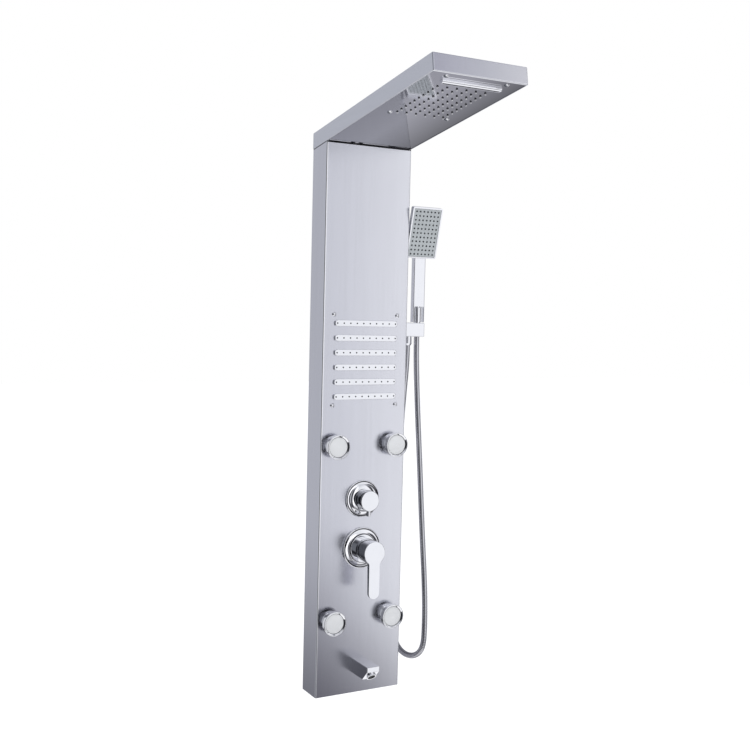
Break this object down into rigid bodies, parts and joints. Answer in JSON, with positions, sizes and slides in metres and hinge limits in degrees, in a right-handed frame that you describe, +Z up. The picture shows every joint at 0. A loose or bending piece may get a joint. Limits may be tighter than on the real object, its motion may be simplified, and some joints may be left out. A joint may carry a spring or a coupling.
{
  "type": "shower panel column",
  "caption": "Wall-hung stainless shower column with tilted rain and waterfall head, massage strips, tilting jets, mixer, diverter, bath spout and hand shower on a hose.",
  "frame": {"origin": "centre of the upper wall bracket's two screw holes, on the wall plane, 1150 mm above the column's bottom edge", "axes": "+Z up along the column, -Y out of the wall towards the user, +X to the side that carries the hand shower (right as seen by the user)"},
  "size_m": [0.302, 0.5193, 1.3805],
  "materials": {
    "column_steel": "brushed",
    "head_steel": "brushed",
    "polished_steel": "mirror polished",
    "chrome": "polished",
    "pale_rubber": "matte",
    "dark_rubber": "matte",
    "spray_plate": "satin",
    "white_plastic": "matte",
    "brass": "machined",
    "cartridge_plastic": "matte",
    "bracket_steel": "plain",
    "pipe": "satin",
    "hose_steel": "polished, ribbed"
  },
  "bodies": {
    "panel": {"column_shell": "column_steel", "column_bottom": "column_steel", "head_shell": "head_steel", "head_underplate": "polished_steel", "rain_chamber": "white_plastic", "rain_nozzles": "pale_rubber", "waterfall_blade": "chrome", "head_screws": "chrome", "head_posts": "bracket_steel", "neck_gussets": "bracket_steel", "massage_rubbers": "dark_rubber", "massage_manifold": "white_plastic", "massage_screws": "chrome", "jet_nuts": "brass", "diverter_body": "brass", "diverter_cartridge": "cartridge_plastic", "diverter_escutcheon": "chrome", "mixer_body": "brass", "mixer_cartridge": "cartridge_plastic", "mixer_nut": "brass", "mixer_escutcheon": "chrome", "mixer_dome": "chrome", "supply_unions": "brass", "union_nuts": "brass", "spout_body": "chrome", "spout_aerator": "dark_rubber", "lock_nuts": "brass", "outlet_holder": "chrome", "shower_hose": "hose_steel", "hose_nut": "chrome", "upper_wall_bracket": "bracket_steel", "hanger_bar": "bracket_steel", "lower_wall_bracket": "bracket_steel", "valve_pipes": "pipe", "jet_pipes": "pipe", "jet_sockets": "chrome", "massage_strip_1": "chrome", "massage_strip_2": "chrome", "massage_strip_3": "chrome", "massage_strip_4": "chrome", "massage_strip_5": "chrome", "massage_strip_6": "chrome"},
    "diverter_handle": {"diverter_knob": "chrome", "diverter_spindle": "brass"},
    "mixer_carrier": {"mixer_turret": "cartridge_plastic", "mixer_pin": "bracket_steel"},
    "mixer_handle": {"mixer_lever": "chrome", "mixer_stem": "brass"},
    "handset": {"handset_body": "chrome", "handset_face": "spray_plate", "handset_nozzle_mat": "dark_rubber", "handset_connector": "chrome"},
    "jet_lower_left": {"jet_head_lower_left": "chrome", "jet_face_lower_left": "spray_plate"},
    "jet_lower_right": {"jet_head_lower_right": "chrome", "jet_face_lower_right": "spray_plate"},
    "jet_upper_left": {"jet_head_upper_left": "chrome", "jet_face_upper_left": "spray_plate"},
    "jet_upper_right": {"jet_head_upper_right": "chrome", "jet_face_upper_right": "spray_plate"}
  },
  "joints": [
    {"name": "diverter_turn", "type": "hinge", "parent": "panel", "child": "diverter_handle", "pos_m": [0, -0.072, -0.6907], "axis": [0, 1, 0], "continuous": true},
    {"name": "mixer_turn", "type": "hinge", "parent": "panel", "child": "mixer_carrier", "pos_m": [0, -0.072, -0.8063], "axis": [0, 1, 0], "range_deg": [-45, 45]},
    {"name": "mixer_lift", "type": "hinge", "parent": "mixer_carrier", "child": "mixer_handle", "pos_m": [0, -0.094, -0.8063], "axis": [-1, 0, 0], "range_deg": [0, 25]},
    {"name": "jet_tilt_lower_left", "type": "hinge", "parent": "panel", "child": "jet_lower_left", "pos_m": [-0.076, -0.078, -0.9725], "axis": [1, 0, 0], "range_deg": [-15, 15]},
    {"name": "jet_tilt_lower_right", "type": "hinge", "parent": "panel", "child": "jet_lower_right", "pos_m": [0.076, -0.078, -0.9725], "axis": [1, 0, 0], "range_deg": [-15, 15]},
    {"name": "jet_tilt_upper_left", "type": "hinge", "parent": "panel", "child": "jet_upper_left", "pos_m": [-0.076, -0.078, -0.565], "axis": [1, 0, 0], "range_deg": [-15, 15]},
    {"name": "jet_tilt_upper_right", "type": "hinge", "parent": "panel", "child": "jet_upper_right", "pos_m": [0.076, -0.078, -0.565], "axis": [1, 0, 0], "range_deg": [-15, 15]},
    {"name": "handset_lift", "type": "slide", "parent": "panel", "child": "handset", "axis": [0, 0, 1], "range_m": [0, 0.1], "deforming": ["shower_hose"]}
  ]
}
